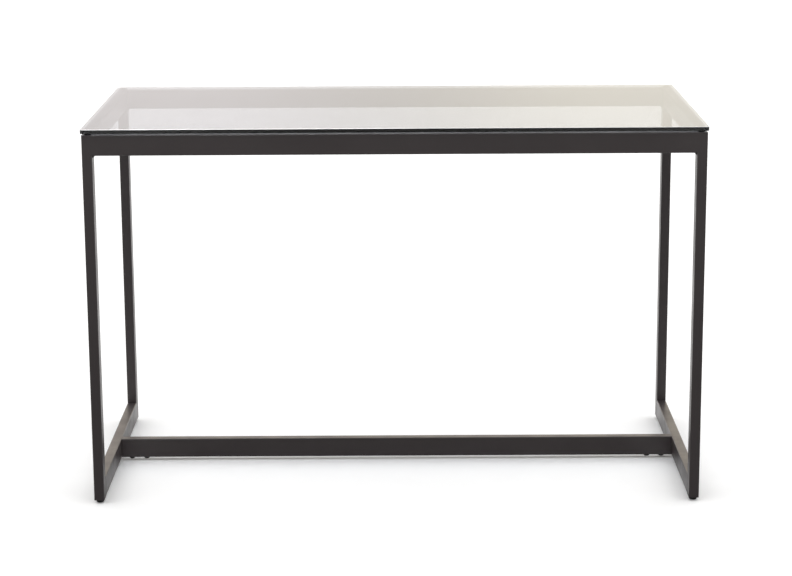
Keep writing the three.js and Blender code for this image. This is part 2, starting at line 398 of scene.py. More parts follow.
@dataclass(frozen=True)
class SmokedGlass(Finish):
    """Grey float glass under a trace of dust. Attributes band and arris mark its edge and its arrises."""

    slot: str = "smoked_glass"
    tint: Colour = (0.487, 0.515, 0.552)
    density: float = 160.0
    ior: float = 1.52
    arris_roughness: Span = (0.14, 0.24)
    arris_whiteness: float = 0.92
    ground_scale: float = 900.0
    dust_cover: Span = (0.001, 0.008)
    wipe_scale: tuple[float, ...] = (3.0, 14.0, 3.0)
    wipe_window: Span = (0.45, 0.75)
    line_scale: tuple[float, ...] = (25.0, 25.0, 3000.0)
    line_haze: float = 0.008

    def build(self) -> bpy.types.Material:
        """Makes the glass: clear inside, darkened by its depth, with a ground edge and whiter arrises.

        Returns:
            The material.
        """
        graph = ShaderGraph("smoked_glass")
        band = graph.attribute("band")
        arris = graph.attribute("arris")
        lines = graph.streaks(self.line_scale, detail=1.0)
        wiped = graph.streaks(self.wipe_scale, detail=4.0)
        dust = graph.remap(wiped, *self.wipe_window, *self.dust_cover)
        ground = graph.over(graph.noise(self.ground_scale, detail=1.0), self.arris_roughness)
        rough = band * lines * self.line_haze + arris * ground
        graph.dress(Base_Color=(1.0, 1.0, 1.0, 1.0), IOR=self.ior, Roughness=rough)
        graph.dress(Transmission_Weight=1.0 - dust * (1.0 - band) - arris * self.arris_whiteness)
        depth = {"Color": (*self.tint, 1.0), "Density": self.density}
        absorb = graph.node("ShaderNodeVolumeAbsorption", depth)
        graph.join(absorb.outputs[0], graph.output.inputs["Volume"])
        return graph.material


@dataclass(frozen=True)
class PadRubber(Finish):
    """Soft black moulded rubber, dusty in its pores."""

    slot: str = "pad_rubber"
    colour: Colour = (0.008, 0.008, 0.008)
    dust: Colour = (0.030, 0.029, 0.028)
    roughness: Span = (0.62, 0.82)
    pore_scale: float = 1400.0
    pore_depth: float = 0.02 * MM
    cloud_scale: float = 220.0
    dust_window: Span = (0.5, 0.75)
    dust_share: float = 0.6

    def build(self) -> bpy.types.Material:
        """Makes the rubber, with fine pores and a trace of dust in them.

        Returns:
            The material.
        """
        graph = ShaderGraph("pad_rubber")
        pores = graph.relief(graph.cells(self.pore_scale), self.pore_depth, strength=0.6)
        cloud = graph.noise(self.cloud_scale, detail=4.0)
        dusty = graph.patches(cloud, self.dust_window, self.dust_share)
        graph.dress(Base_Color=graph.mixed(dusty, self.colour, self.dust))
        graph.dress(Roughness=graph.over(cloud, self.roughness), Normal=pores, Specular_IOR_Level=0.35)
        return graph.material


@dataclass(frozen=True)
class MouldedPlastic(Finish):
    """Black moulded nylon with a spark-eroded skin, paler and duller where it has slid on the floor."""

    slot: str = "glide_plastic"
    colour: Colour = (0.010, 0.010, 0.011)
    rubbed: Colour = (0.034, 0.033, 0.032)
    sole: float = 0.9 * MM
    roughness: Span = (0.42, 0.56)
    scuff_scale: tuple[float, ...] = (900.0, 900.0, 300.0)
    scuff_window: Span = (0.4, 0.7)
    scuff_dulling: float = 0.12
    skin_scale: float = 3800.0
    skin_depth: float = 0.012 * MM

    def build(self) -> bpy.types.Material:
        """Makes the nylon, with its eroded skin and its rubbed sole.

        Returns:
            The material.
        """
        graph = ShaderGraph("glide_nylon")
        height = graph.parts(graph.place)[2]
        scuffs = graph.patches(graph.streaks(self.scuff_scale, detail=5.0), self.scuff_window)
        rubbed = graph.remap(height, 0.0, self.sole, 1.0, 0.0) * scuffs
        skin = graph.noise(self.skin_scale, detail=2.0)
        graph.dress(Base_Color=graph.mixed(rubbed, self.colour, self.rubbed))
        graph.dress(Roughness=graph.over(skin, self.roughness) + rubbed * self.scuff_dulling)
        graph.dress(Normal=graph.relief(skin, self.skin_depth, strength=0.7), Specular_IOR_Level=0.45)
        return graph.material


@dataclass(frozen=True)
class ZincPlate(Finish):
    """Bright zinc plate on turned or cut steel."""

    slot: str = "zinc_steel"
    colour: Colour = (0.60, 0.61, 0.62)
    warm: Colour = (0.56, 0.52, 0.42)
    roughness: Span = (0.26, 0.44)
    tinge_scale: float = 90.0
    tinge_window: Span = (0.42, 0.72)
    tinge_share: float = 0.8
    bloom_scale: float = 900.0
    bloom_dulling: float = 0.06
    scratch_scale: tuple[float, ...] = (2400.0, 260.0, 900.0)
    scratch_depth: float = 0.004 * MM

    def build(self) -> bpy.types.Material:
        """Makes the plate, with its crystal bloom, a warm passivated tinge and barrel scratches.

        Returns:
            The material.
        """
        graph = ShaderGraph("zinc_plate")
        cloud = graph.noise(self.tinge_scale, detail=4.0)
        tinge = graph.patches(cloud, self.tinge_window, self.tinge_share)
        bloom = graph.cells(self.bloom_scale)
        scratch = graph.streaks(self.scratch_scale, detail=3.0)
        graph.dress(Base_Color=graph.mixed(tinge, self.colour, self.warm), Metallic=1.0)
        graph.dress(Roughness=graph.over(scratch, self.roughness) + bloom * self.bloom_dulling)
        graph.dress(Normal=graph.relief(scratch, self.scratch_depth, strength=0.5))
        return graph.material


@dataclass(frozen=True)
class BlackZinc(Finish):
    """Black passivated zinc on the screws, rubbed a little brighter where a driver has turned them."""

    slot: str = "screw_steel"
    colour: Colour = (0.022, 0.022, 0.024)
    rubbed: Colour = (0.16, 0.16, 0.17)
    roughness: Span = (0.48, 0.34)
    patch_scale: float = 700.0
    rub_window: Span = (0.60, 0.74)
    rub_share: float = 0.7
    grain_scale: float = 2600.0
    grain_depth: float = 0.006 * MM

    def build(self) -> bpy.types.Material:
        """Makes the black plate, with patches that were rubbed through.

        Returns:
            The material.
        """
        graph = ShaderGraph("black_zinc")
        patch = graph.noise(self.patch_scale, detail=4.0)
        rubbed = graph.patches(patch, self.rub_window, self.rub_share)
        graph.dress(Base_Color=graph.mixed(rubbed, self.colour, self.rubbed), Metallic=0.85)
        grain = graph.relief(graph.noise(self.grain_scale, detail=2.0), self.grain_depth, strength=0.6)
        graph.dress(Roughness=graph.over(patch, self.roughness), Normal=grain)
        return graph.material


# -------------------------------------------------------------------------------------- geometry trees


class GeometryTree(Graph):
    """A Geometry Nodes tree with named inputs, which turns a bare mesh into the finished one."""

    label = "shape"
    sizes: dict[str, str] = {}

    def __init__(self) -> None:
        """Makes the tree and its named inputs, and lets shape() fill it."""
        super().__init__(bpy.data.node_groups.new(self.label, "GeometryNodeTree"))
        face = self.tree.interface
        face.new_socket("Geometry", in_out="INPUT", socket_type="NodeSocketGeometry")
        for name, kind in {**self.sizes, "Material": "Material"}.items():
            face.new_socket(name, in_out="INPUT", socket_type=f"NodeSocket{kind}")
        face.new_socket("Geometry", in_out="OUTPUT", socket_type="NodeSocketGeometry")
        self.group = self.node("NodeGroupInput")
        made = self.shape()
        solid = self.out(self.node("GeometryNodeRealizeInstances", {0: made}))
        dressed = self.node("GeometryNodeSetMaterial", {0: solid, "Material": self.given("Material")})
        self.node("NodeGroupOutput", {0: self.out(dressed)})

    def shape(self) -> Field:
        """Adds the nodes that make the shape. Each tree has its own."""
        raise NotImplementedError

    def given(self, name: str) -> Field:
        """One of the tree's named inputs."""
        return self.out(self.group, name)

    @cached_property
    def place(self) -> tuple[Field, Field, Field]:
        """Where a point is: X, Y and Z."""
        return self.parts(self.out(self.node("GeometryNodeInputPosition")))

    def moved(self, geometry: Any, place: Field, where: Any = True) -> Field:
        """The geometry with the points that where picks put in new places."""
        made = self.node("GeometryNodeSetPosition", {0: geometry, "Selection": where, "Position": place})
        return self.out(made)

    def merged(self, *parts: Any) -> Field:
        """Joins geometries into one, with the points that meet made one.

        Args:
            *parts: The geometries.

        Returns:
            The joined geometry.
        """
        made = self.node("GeometryNodeJoinGeometry")
        for part in reversed(parts):
            self.join(part, made.inputs[0])
        return self.out(self.node("GeometryNodeMergeByDistance", {0: self.out(made), "Distance": TINY}))

    def rod(self, radius: Any, length: Any, around: Any, along: Any) -> Field:
        """A closed upright rod on the origin.

        Args:
            radius: Its radius.
            length: Its length.
            around: How many steps there are round it.
            along: How many steps there are along it.

        Returns:
            The geometry.
        """
        inputs = {"Vertices": around, "Side Segments": along, "Radius": radius, "Depth": length}
        made = self.node("GeometryNodeMeshCylinder", inputs, fill_type="TRIANGLE_FAN")
        lift = {0: self.out(made, "Mesh"), "Translation": self.vector(0.0, 0.0, length * 0.5)}
        return self.out(self.node("GeometryNodeTransform", lift))

    def make(self, points: Iterable[Sequence[float]], values: dict[str, Any]) -> bpy.types.Mesh:
        """Runs the tree and gives its result as a plain mesh.

        Args:
            points: The bare points that the tree starts from.
            values: The values of its named inputs.

        Returns:
            The mesh.
        """
        start = bpy.data.meshes.new(self.label)
        start.from_pydata([tuple(point) for point in points], [], [])
        holder = placed(self.label, start)
        modifier = holder.modifiers.new(self.label, "NODES")
        modifier.node_group = self.tree
        for item in self.tree.interface.items_tree:
            if item.in_out == "INPUT" and item.name in values:
                modifier[item.identifier] = values[item.name]
        return settled(holder)


class TubeTree(GeometryTree):
    """A rectangular tube along +X, centred on the origin, with rounded corners and real walls.

    The attribute edge is one on the middle of each rounded corner and zero on the flats. Where Cope is not
    zero, the ends reach out at the -Y face to follow the rounded corner of the leg they are welded to.
    """

    label = "rounded_tube"
    sizes = {
        **dict.fromkeys(("Length", "Thickness", "Height", "Wall", "Corner", "Inner Corner"), "Float"),
        "Corner Steps": "Int",
        "Cope": "Float",
    }

    def outline(self, width: Any, height: Any, corner: Field) -> Field:
        """A rectangle with rounded corners.

        Args:
            width: Its width.
            height: Its height.
            corner: The radius of its corners.

        Returns:
            The closed curve.
        """
        sides = {"Width": width, "Height": height}
        plain = self.node("GeometryNodeCurvePrimitiveQuadrilateral", sides, mode="RECTANGLE")
        inputs = {0: self.out(plain), "Count": self.given("Corner Steps"), "Radius": corner}
        return self.out(self.node("GeometryNodeFilletCurve", inputs, mode="POLY"))

    def shape(self) -> Field:
        """Fills the section, pulls it out to the length, and turns it to lie along +X.

        Returns:
            The geometry.
        """
        thickness, height, length = self.given("Thickness"), self.given("Height"), self.given("Length")
        wall, corner, cope = self.given("Wall"), self.given("Corner"), self.given("Cope")
        outer = self.outline(thickness, height, corner)
        inner = self.outline(thickness - wall * 2.0, height - wall * 2.0, self.given("Inner Corner"))
        rings = self.node("GeometryNodeJoinGeometry")
        self.join(inner, rings.inputs[0])
        self.join(outer, rings.inputs[0])
        section = self.out(self.node("GeometryNodeFillCurve", {0: self.out(rings)}, mode="NGONS"))
        pull = {0: section, "Offset": self.vector(0.0, 0.0, 1.0), "Offset Scale": length}
        pulled = self.node("GeometryNodeExtrudeMesh", {**pull, "Individual": False}, mode="FACES")
        foot = self.out(self.node("GeometryNodeFlipFaces", {0: section}))
        x, y, z = self.place
        lying = self.moved(self.merged(self.out(pulled), foot), self.vector(z - length * 0.5, x, y))
        reach = self.math("MAXIMUM", corner - (y + thickness * 0.5), 0.0)
        room = self.math("MAXIMUM", corner * corner - reach * reach, 0.0)
        bow = (corner - self.math("SQRT", room)) * cope * self.math("SIGN", x)
        coped = self.moved(lying, self.vector(x + bow, y, z))
        share_y = self.math("DIVIDE", abs(y) - (thickness * 0.5 - corner), corner, clamp=True)
        share_z = self.math("DIVIDE", abs(z) - (height * 0.5 - corner), corner, clamp=True)
        mark = {0: coped, "Name": "edge", "Value": share_y * share_z * 2.0}
        marked = self.node("GeometryNodeStoreNamedAttribute", mark, data_type="FLOAT", domain="POINT")
        return self.out(marked)


class ThreadTree(GeometryTree):
    """A threaded rod that stands on the origin, with chamfered ends and a helical thread."""

    label = "threaded_rod"
    sizes = {
        **dict.fromkeys(("Radius", "Depth", "Pitch", "Length", "Chamfer"), "Float"),
        **dict.fromkeys(("Round Steps", "Pitch Steps"), "Int"),
    }
    flank_gain = 1.3
    root_flat = 0.12

    def threaded(self, radius: Field, length: Field) -> Field:
        """The rod with its thread.

        Args:
            radius: The radius over the crests.
            length: The length of the rod.

        Returns:
            The geometry.
        """
        depth, pitch, chamfer = self.given("Depth"), self.given("Pitch"), self.given("Chamfer")
        along = self.math("ROUND", length / pitch * self.given("Pitch Steps"))
        plain = self.rod(radius, length, self.given("Round Steps"), along)
        x, y, z = self.place
        wide = self.math("SQRT", x * x + y * y)
        turn = self.math("ARCTAN2", y, x) / TURN
        saw = self.math("FRACT", z / pitch - turn)
        slope = 1.0 - abs(saw * 2.0 - 1.0)
        flank = self.math("MULTIPLY_ADD", slope, self.flank_gain, -self.root_flat, clamp=True)
        crest = radius - depth * (1.0 - flank)
        near_end = self.math("MINIMUM", z, length - z)
        eased = self.math("MINIMUM", crest, radius - chamfer + near_end)
        share = eased / self.math("MAXIMUM", wide, TINY)
        return self.moved(plain, self.vector(x * share, y * share, z), wide > radius * 0.5)

    def shape(self) -> Field:
        """The threaded rod alone."""
        return self.threaded(self.given("Radius"), self.given("Length"))


class ScrewTree(ThreadTree):
    """Pan head screws, head down, one on each starting point, each turned by a fixed random angle."""

    label = "pan_head_screws"
    sizes = {
        **ThreadTree.sizes,
        **dict.fromkeys(("Head Radius", "Head Height", "Rim", "Flat Radius"), "Float"),
        **dict.fromkeys(("Slot Length", "Slot Width", "Slot Depth"), "Float"),
        "Seed": "Int",
    }
    steps_round = 40
    steps_up = 14
    lip = 0.3 * MM
    slot_taper = 0.45

    def head(self) -> Field:
        """The domed head under the origin, with its crossed recess.

        Returns:
            The geometry.
        """
        radius, height, rim = self.given("Head Radius"), self.given("Head Height"), self.given("Rim")
        flat, width, reach = self.given("Flat Radius"), self.given("Slot Width"), self.given("Slot Length")
        plain = self.rod(radius, height, self.steps_round, self.steps_up)
        x, y, z = self.place
        wide = self.math("SQRT", x * x + y * y)
        rise = self.math("DIVIDE", height - rim - z, height - rim, clamp=True)
        bulge = self.math("SQRT", self.math("MAXIMUM", 1.0 - rise * rise, 0.0))
        lip = self.math("MINIMUM", height - z, self.lip) - self.lip
        share = (flat + (radius - flat) * bulge + lip) / self.math("MAXIMUM", wide, TINY)
        domed = self.moved(plain, self.vector(x * share, y * share, z - height), wide > radius * 0.5)
        arms = []
        for long_x, long_y in ((reach, width), (width, reach)):
            size = self.vector(long_x, long_y, self.given("Slot Depth") * 2.0)
            arm = self.node("GeometryNodeMeshCube", {"Size": size})
            taper = 1.0 - self.math("MAXIMUM", z, 0.0) / self.given("Slot Depth") * self.slot_taper
            arms.append(self.moved(self.out(arm, "Mesh"), self.vector(x * taper, y * taper, z)))
        cross = self.node("GeometryNodeMeshBoolean", operation="UNION", solver="EXACT")
        for arm in arms:
            self.join(arm, cross.inputs["Mesh 2"])
        sunk = {0: self.out(cross, "Mesh"), "Translation": self.vector(0.0, 0.0, 0.0 - height)}
        cutter = self.out(self.node("GeometryNodeTransform", sunk))
        solids = {"Mesh 1": domed, "Mesh 2": cutter}
        cut = self.node("GeometryNodeMeshBoolean", solids, operation="DIFFERENCE", solver="EXACT")
        return self.out(cut, "Mesh")

    def shape(self) -> Field:
        """Puts one screw on each starting point.

        Returns:
            The geometry.
        """
        parts = self.node("GeometryNodeJoinGeometry")
        self.join(self.threaded(self.given("Radius"), self.given("Length")), parts.inputs[0])
        self.join(self.head(), parts.inputs[0])
        turn = {2: 0.0, 3: TURN, "Seed": self.given("Seed")}
        angle = self.node("FunctionNodeRandomValue", turn, data_type="FLOAT")
        inputs = {
            "Points": self.out(self.group, "Geometry"),
            "Instance": self.out(parts),
            "Rotation": self.vector(0.0, 0.0, self.out(angle, 1)),
        }
        return self.out(self.node("GeometryNodeInstanceOnPoints", inputs))


class WeldTree(GeometryTree):
    """A rippled weld bead along +Y, centred on the origin, that fills the corner towards +X and -Z."""

    label = "weld_bead"
    sizes = {**dict.fromkeys(("Size", "Length", "Ripple", "Ripple Depth"), "Float"), "Steps": "Int"}
    arc_steps = 12
    ripple_bow = 2.6
    ripple_gain = 4.0
    crown = 0.42
    end_height = 0.45
    end_length = 0.6

    def shape(self) -> Field:
        """Sweeps a filled corner along the seam, and presses the ripples into it.

        Returns:
            The geometry.
        """
        size, length = self.given("Size"), self.given("Length")
        ends = {"Start": self.vector(0.0, length * -0.5, 0.0), "End": self.vector(0.0, length * 0.5, 0.0)}
        line = self.node("GeometryNodeCurvePrimitiveLine", ends)
        path = self.node("GeometryNodeResampleCurve", {0: self.out(line), "Count": self.given("Steps")})
        corner = {"Resolution": self.arc_steps, "Radius": size, "Connect Center": True}
        corner |= {"Start Angle": 0.0, "Sweep Angle": TURN / 4}
        arc = self.node("GeometryNodeCurveArc", corner, mode="RADIUS")
        swept = {"Curve": self.out(path), "Profile Curve": self.out(arc, "Curve"), "Fill Caps": True}
        bead = self.out(self.node("GeometryNodeCurveToMesh", swept))
        x, y, z = self.place
        wide = self.math("SQRT", x * x + z * z)
        across = abs(x) + abs(z)
        flat = wide / self.math("MAXIMUM", across, TINY)
        # swell runs from zero at the bead's toes to a half at the middle of its face
        swell = abs(x) * abs(z) / (size * size)
        lean = y / self.given("Ripple") + swell * self.ripple_bow
        wave = self.math("SINE", lean * math.pi)
        ripple = self.given("Ripple Depth") * swell * self.ripple_gain * wave * wave / size
        near_end = self.math("DIVIDE", length * 0.5 - abs(y), size * self.end_length, clamp=True)
        round_end = self.math("SQRT", near_end * (2.0 - near_end))
        taper = self.end_height + (1.0 - self.end_height) * round_end
        scale = (flat * (1.0 + swell * self.crown) + ripple) * taper
        return self.moved(bead, self.vector(x * scale, y, z * scale))


# ------------------------------------------------------------------------------------------ mesh tools


def placed(name: str, data: bpy.types.ID) -> bpy.types.Object:
    """Adds an object to the scene.

    Args:
        name: The object's name.
        data: Its mesh, light or camera.

    Returns:
        The object.
    """
    made = bpy.data.objects.new(name, data)
    bpy.context.scene.collection.objects.link(made)
    return made


def settled(holder: bpy.types.Object, all_layers: bool = False) -> bpy.types.Mesh:
    """Turns an object and its modifiers into a plain mesh, and removes the object and its own mesh.

    Args:
        holder: The object.
        all_layers: True to keep every layer of its mesh.

    Returns:
        The plain mesh.
    """
    bare = holder.data
    depsgraph = bpy.context.evaluated_depsgraph_get()
    made = bpy.data.meshes.new_from_object(
        holder.evaluated_get(depsgraph), preserve_all_data_layers=all_layers, depsgraph=depsgraph
    )
    holder.modifiers.clear()
    bpy.data.objects.remove(holder)
    bpy.data.meshes.remove(bare)
    return made


def sized(node: str) -> tuple[Vector, Vector]:
    """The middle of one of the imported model's pieces, and its size along each axis."""
    low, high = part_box(node)
    return (low + high) / 2, high - low


def quarter_turn(steps: int) -> list[float]:
    """Angles from zero to a quarter of a turn, in equal steps."""
    return [(i / steps) * math.pi / 2 for i in range(steps + 1)]


def turned(profile: Sequence[tuple[float, float]], steps: int, middle: Vector) -> bpy.types.Mesh:
    """A solid of revolution about an upright axis.

    Args:
        profile: Pairs of radius and height that run round the section anticlockwise. The first and the
            last lie on the axis, or the profile is closed clear of it.
        steps: How many steps there are round it.
        middle: Where the axis meets height zero.

    Returns:
        The mesh.
    """
    shape = bmesh.new()
    rings: list[list[bmesh.types.BMVert]] = []
    for radius, height in profile:
        count = steps if radius > TINY else 1
        spin = [TURN * i / count for i in range(count)]
        ring = [(radius * math.cos(a), radius * math.sin(a), height) for a in spin]
        rings.append([shape.verts.new(Vector(point) + middle) for point in ring])
    for lower, upper in zip(rings, rings[1:]):
        for i in range(steps):
            corners = [lower[i % len(lower)], lower[(i + 1) % len(lower)]]
            corners += [upper[(i + 1) % len(upper)], upper[i % len(upper)]]
            shape.faces.new(list(dict.fromkeys(corners)))
    return as_mesh(shape, "turned")


def as_mesh(shape: bmesh.types.BMesh, name: str) -> bpy.types.Mesh:
    """Turns a bmesh into a mesh with its faces pointing outwards.

    Args:
        shape: The bmesh, which is freed.
        name: The mesh's name.

    Returns:
        The mesh.
    """
    bmesh.ops.recalc_face_normals(shape, faces=shape.faces)
    mesh = bpy.data.meshes.new(name)
    shape.to_mesh(mesh)
    shape.free()
    return mesh


def eased(mesh: bpy.types.Mesh, picked: EdgeTest, width: float) -> bpy.types.Mesh:
    """Rounds over some of a mesh's edges.

    Args:
        mesh: The mesh, which is changed.
        picked: Says whether an edge is one of them.
        width: How far the rounding reaches.

    Returns:
        The same mesh.
    """
    shape = bmesh.new()
    shape.from_mesh(mesh)
    bmesh.ops.recalc_face_normals(shape, faces=shape.faces)
    edges = [edge for edge in shape.edges if picked(edge)]
    bmesh.ops.bevel(
        shape, geom=edges, offset=width, offset_type="OFFSET", segments=3, profile=0.5, affect="EDGES"
    )
    shape.to_mesh(mesh)
    shape.free()
    return mesh


def shaded(mesh: bpy.types.Mesh, sharp: float = 32.0) -> bpy.types.Mesh:
    """Smooths a mesh's shading over its roundings and keeps its flats flat.

    Args:
        mesh: The mesh, which is removed.
        sharp: The angle in degrees past which an edge stays sharp.

    Returns:
        A new mesh with its own normals.
    """
    mesh.shade_smooth()
    mesh.set_sharp_from_angle(angle=math.radians(sharp))
    holder = placed("shading", mesh)
    modifier = holder.modifiers.new("flats", "WEIGHTED_NORMAL")
    modifier.keep_sharp = True
    modifier.weight = 100
    return settled(holder, all_layers=True)


def add_piece(
    name: str, mesh: bpy.types.Mesh, finish: Finish, body: str, nodes: Sequence[str]
) -> bpy.types.Object:
    """Adds a finished piece to the desk.

    Args:
        name: The piece's name.
        mesh: Its mesh, with its place in it.
        finish: Its finish.
        body: The body it moves with.
        nodes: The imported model's pieces that it stands for.

    Returns:
        The piece.
    """
    mesh.name = name
    mesh.materials.clear()
    mesh.materials.append(finish.material)
    made = placed(name, mesh)
    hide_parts(*nodes)
    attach(made, body)
    log.info("%s: %d faces", name, len(mesh.polygons))
    return made


def keep_node(name: str, finish: Finish) -> None:
    """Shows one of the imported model's own pieces in a finish.

    Args:
        name: The piece's name.
        finish: Its finish.
    """
    node = frame["nodes"][name]
    node.data.materials.clear()
    node.data.materials.append(finish.material)
    log.info("%s: kept as it is", name)


# --------------------------------------------------------------------------------------- sub-assemblies


@dataclass
class SteelTube:
    """One length of rectangular tube, with its cut ends deburred."""

    coat: PowderCoat
    tree: TubeTree
    wall: float = 1.5 * MM
    corner: float = 2.0 * MM
    inner_corner: float = 0.5 * MM
    corner_steps: int = 8
    deburr: float = 0.25 * MM

    def build(self, node: str, run: Run, cope: bool = False, top_ease: float = 0.0) -> bpy.types.Object:
        """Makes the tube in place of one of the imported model's pieces.

        Args:
            node: The piece's name.
            run: The way the tube runs.
            cope: True where its ends follow the rounded corners of the legs.
            top_ease: How far the edge of an upright tube's top is rounded over.

        Returns:
            The piece.
        """
        middle, size = sized(node)
        turn = run.value.to_3x3()
        length, thickness, height = (abs(x) for x in turn.inverted() @ size)
        values = {
            "Length": length - (2.0 * self.corner if cope else 0.0),
            "Thickness": thickness,
            "Height": height,
            "Wall": self.wall,
            "Corner": self.corner,
            "Inner Corner": self.inner_corner,
            "Corner Steps": self.corner_steps,
            "Cope": 1.0 if cope else 0.0,
            "Material": self.coat.material,
        }
        mesh = self.tree.make([ORIGIN], values)
        if not cope:
            for sign, width in ((-1.0, self.deburr), (1.0, top_ease or self.deburr)):
                mesh = eased(mesh, self.cut_edge(sign * length / 2), width)
        mesh.transform(Matrix.Translation(middle) @ run.value)
        return add_piece(f"{node}_tube", shaded(mesh), self.coat, "frame", [node])

    def cut_edge(self, end: float) -> EdgeTest:
        """Picks the outer edges of one cut end.

        Args:
            end: The end's place along the tube.

        Returns:
            A function that says whether an edge is one of them.
        """

        def picked(edge: bmesh.types.BMEdge) -> bool:
            """Says whether an edge is between the cut face and the outside.

            Args:
                edge: The edge.

            Returns:
                True where it is.
            """
            at_end = all(abs(v.co.x - end) < TINY for v in edge.verts)
            sides = [face for face in edge.link_faces if abs(face.normal.x) < 0.5]
            if not (at_end and len(edge.link_faces) == 2 and len(sides) == 1):
                return False
            away = Vector((0.0, *((edge.verts[0].co + edge.verts[1].co) / 2).yz))
            return sides[0].normal.dot(away) > 0.0

        return picked


@dataclass
class LevellingFoot:
    """A moulded glide on a threaded stud, which screws into the bottom of a leg."""

    nylon: MouldedPlastic
    zinc: ZincPlate
    tree: ThreadTree
    rounding: float = 2.0 * MM
    socket: float = 4.0 * MM
    sole_recess: float = 3.6 * MM
    recess_depth: float = 0.5 * MM
    recess_flare: float = 0.3 * MM
    groove: float = 0.35 * MM
    pitch: float = 1.25 * MM
    thread_depth: float = 0.72 * MM
    chamfer: float = 0.8 * MM
    groove_drop: float = 1.7 * MM
    rim: float = 0.5 * MM
    rim_ease: float = 0.15 * MM
    lead_in: float = 0.3 * MM
    bowl_steps: int = 10
    turn_steps: int = 56
    round_steps: int = 32
    pitch_steps: int = 8

    def glide_profile(self, radius: float, height: float, seat: float) -> list[tuple[float, float]]:
        """The section of the glide.

        Args:
            radius: Its widest radius.
            height: Its height.
            seat: The height of the bottom of the stud's socket.

        Returns:
            Pairs of radius and height.
        """
        inner = radius - self.rounding
        angles = quarter_turn(self.bowl_steps)
        bowl = [(inner + self.rounding * math.sin(a), self.rounding * (1 - math.cos(a))) for a in angles]
        groove_at = height - self.groove_drop
        upper = [
            (radius, groove_at - self.groove),
            (radius - self.groove, groove_at),
            (radius, groove_at + self.groove),
            (radius, height - self.rim),
            (radius - self.rim_ease, height - self.rim_ease),
            (radius - self.rim, height),
        ]
        sole = [(0.0, self.recess_depth), (self.sole_recess, self.recess_depth)]
        sole += [(self.sole_recess + self.recess_flare, 0.0), (inner - self.lead_in, 0.0)]
        mouth = [(self.socket + self.lead_in, height), (self.socket, seat), (0.0, seat)]
        return [*sole, *bowl, *upper, *mouth]

    def build(self, end: End, side: Side) -> None:
        """Makes one foot.

        Args:
            end: The end of the desk it is at.
            side: The side of the desk it is on.
        """
        corner = f"{end.label}_{side.label}"
        body = f"{corner}_foot"
        middle, size = sized(f"{corner}_glide")
        stud_middle, stud_size = sized(f"{corner}_stud")
        axis = Vector((middle.x, middle.y, 0.0))
        seat = stud_middle.z - stud_size.z / 2
        profile = self.glide_profile(size.x / 2, size.z, seat)
        glide = shaded(turned(profile, self.turn_steps, axis), sharp=40.0)
        add_piece(f"{corner}_glide_moulding", glide, self.nylon, body, [f"{corner}_glide"])
        values = {
            "Radius": stud_size.x / 2,
            "Depth": self.thread_depth,
            "Pitch": self.pitch,
            "Length": stud_size.z,
            "Chamfer": self.chamfer,
            "Round Steps": self.round_steps,
            "Pitch Steps": self.pitch_steps,
            "Material": self.zinc.material,
        }
        stud = self.tree.make([ORIGIN], values)
        stud.transform(Matrix.Translation(axis + Vector((0.0, 0.0, seat))))
        add_piece(f"{corner}_stud_thread", shaded(stud, sharp=60.0), self.zinc, body, [f"{corner}_stud"])


